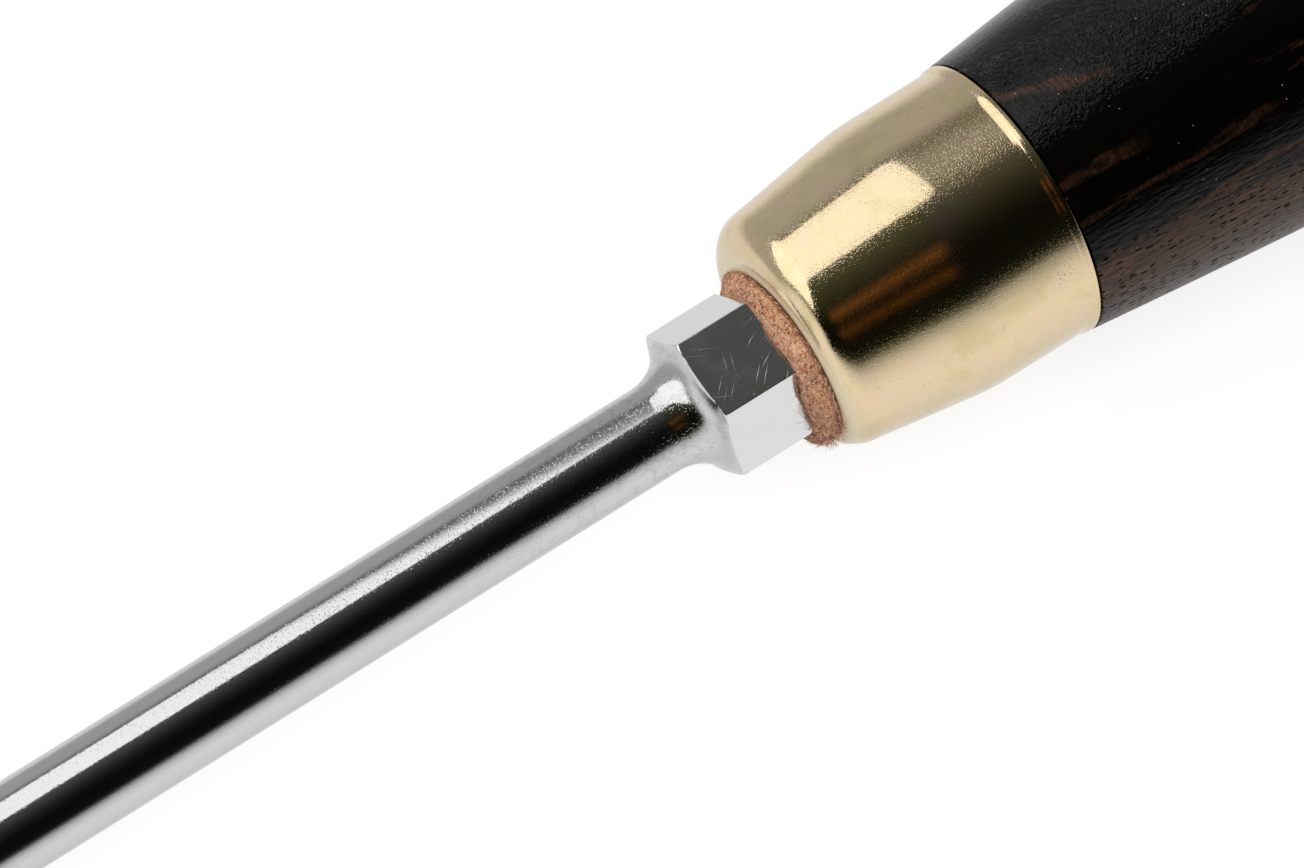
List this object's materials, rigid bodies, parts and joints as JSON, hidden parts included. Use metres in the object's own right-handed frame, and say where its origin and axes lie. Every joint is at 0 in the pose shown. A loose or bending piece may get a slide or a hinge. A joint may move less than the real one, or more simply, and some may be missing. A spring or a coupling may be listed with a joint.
{
  "type": "pozidriv screwdriver",
  "caption": "Screwdriver with a cross point and secondary ribs, round chromed shank, hexagonal bolster, leather washer, brass ferrule and turned dark wooden handle.",
  "frame": {"origin": "centre of the blunt end of the point, on the blade's axis", "axes": "+X along the blade towards the handle, +Z square to one flat of the bolster and to one flat of the handle"},
  "size_m": [0.2222, 0.029, 0.0248],
  "materials": {
    "chrome": "bright chrome plating over forged steel, ground flats on the bolster",
    "leather": "raw vegetable-tanned leather with a fibrous cut edge",
    "brass": "drawn and polished brass with fine pits",
    "wood": "dark stained and oiled hardwood, satin"
  },
  "bodies": {
    "root": {"blade": "chrome", "leather_washer": "leather", "brass_ferrule": "brass", "wooden_handle": "wood"}
  },
  "joints": []
}
